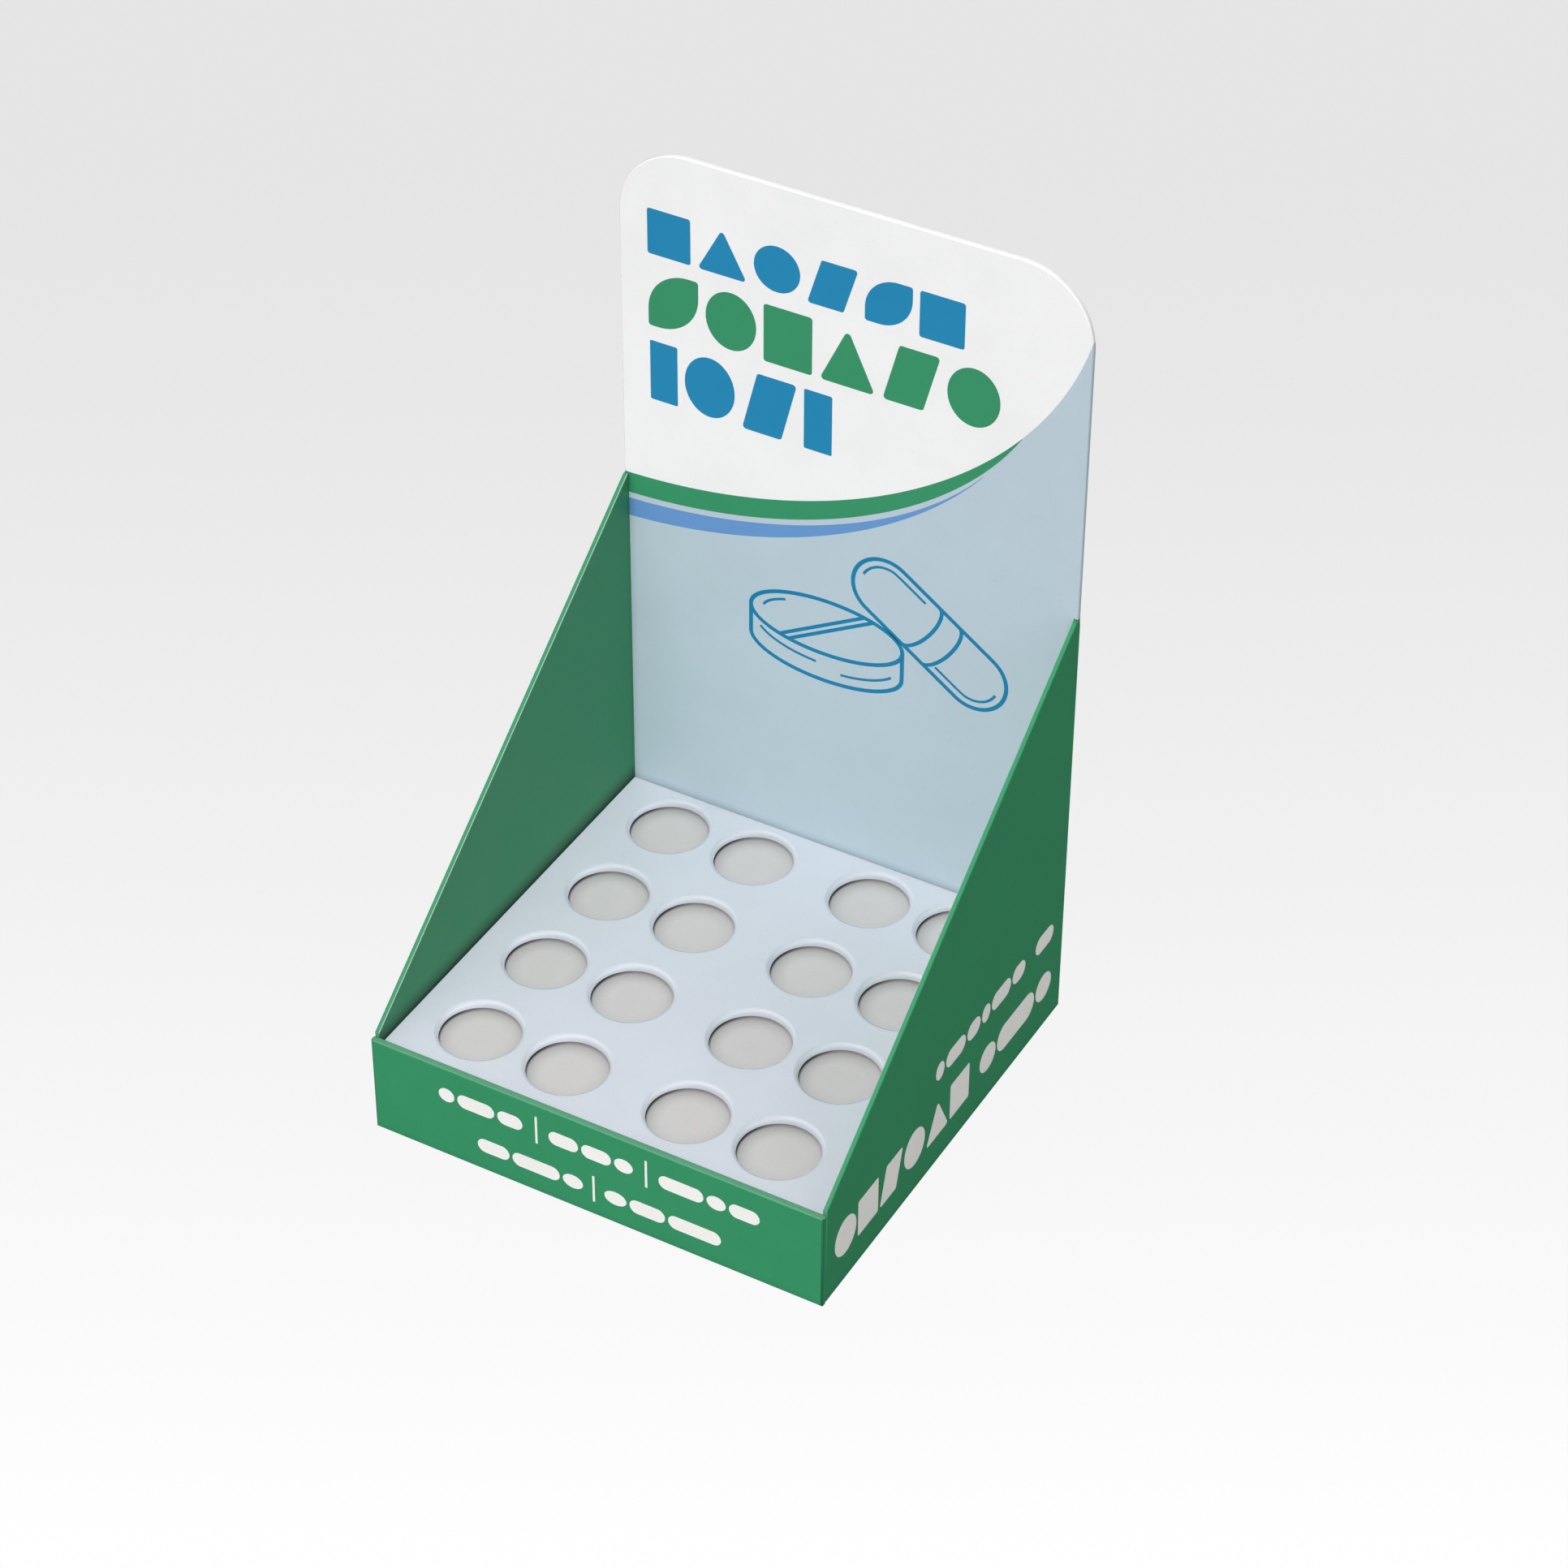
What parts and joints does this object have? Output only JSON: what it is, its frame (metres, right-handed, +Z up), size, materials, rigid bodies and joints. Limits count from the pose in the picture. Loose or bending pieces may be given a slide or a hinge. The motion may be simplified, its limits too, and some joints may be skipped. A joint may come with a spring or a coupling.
{
  "type": "counter display box",
  "caption": "Open counter display tray of folded board with sloping sides, a tall rounded header and a raised deck with round wells for small bottles.",
  "frame": {"origin": "middle of the underside of the tray, on the surface it stands on", "axes": "+Z up, -Y towards the low front wall, +X to the right seen from the front"},
  "size_m": [0.2, 0.1972, 0.3454],
  "materials": {
    "printed_board": "green print, satin varnish",
    "deck_board": "pale blue-grey print, satin varnish",
    "plain_board": "plain light grey, matte"
  },
  "bodies": {
    "root": {"carton": "printed_board", "deck_insert": "deck_board", "riser": "plain_board"}
  },
  "joints": []
}
